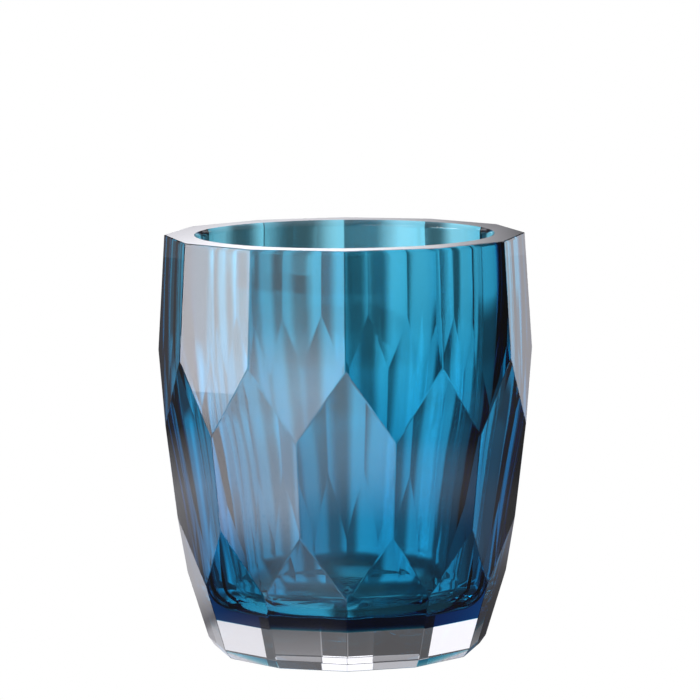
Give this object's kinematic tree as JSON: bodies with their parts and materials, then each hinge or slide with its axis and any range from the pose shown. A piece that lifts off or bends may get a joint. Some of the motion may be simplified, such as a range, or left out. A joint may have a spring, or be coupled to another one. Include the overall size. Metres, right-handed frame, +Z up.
{
  "type": "vase",
  "caption": "Heavy cut crystal vase: a faceted blue glass body with a round cavity, bonded on a clear crystal foot.",
  "frame": {"origin": "centre of the flat base, on the surface that the vase stands on", "axes": "+Z up along the axis of the vase, -Y towards a vertical edge between two facets of the upper row"},
  "size_m": [0.2064, 0.2064, 0.23],
  "materials": {
    "blue_crystal": "clear blue crystal coloured through, every facet, the rim and the cavity polished bright",
    "clear_crystal": "colourless crystal, facets, bevel and base polished bright"
  },
  "bodies": {
    "root": {"blue_body": "blue_crystal", "clear_foot": "clear_crystal"}
  },
  "joints": []
}
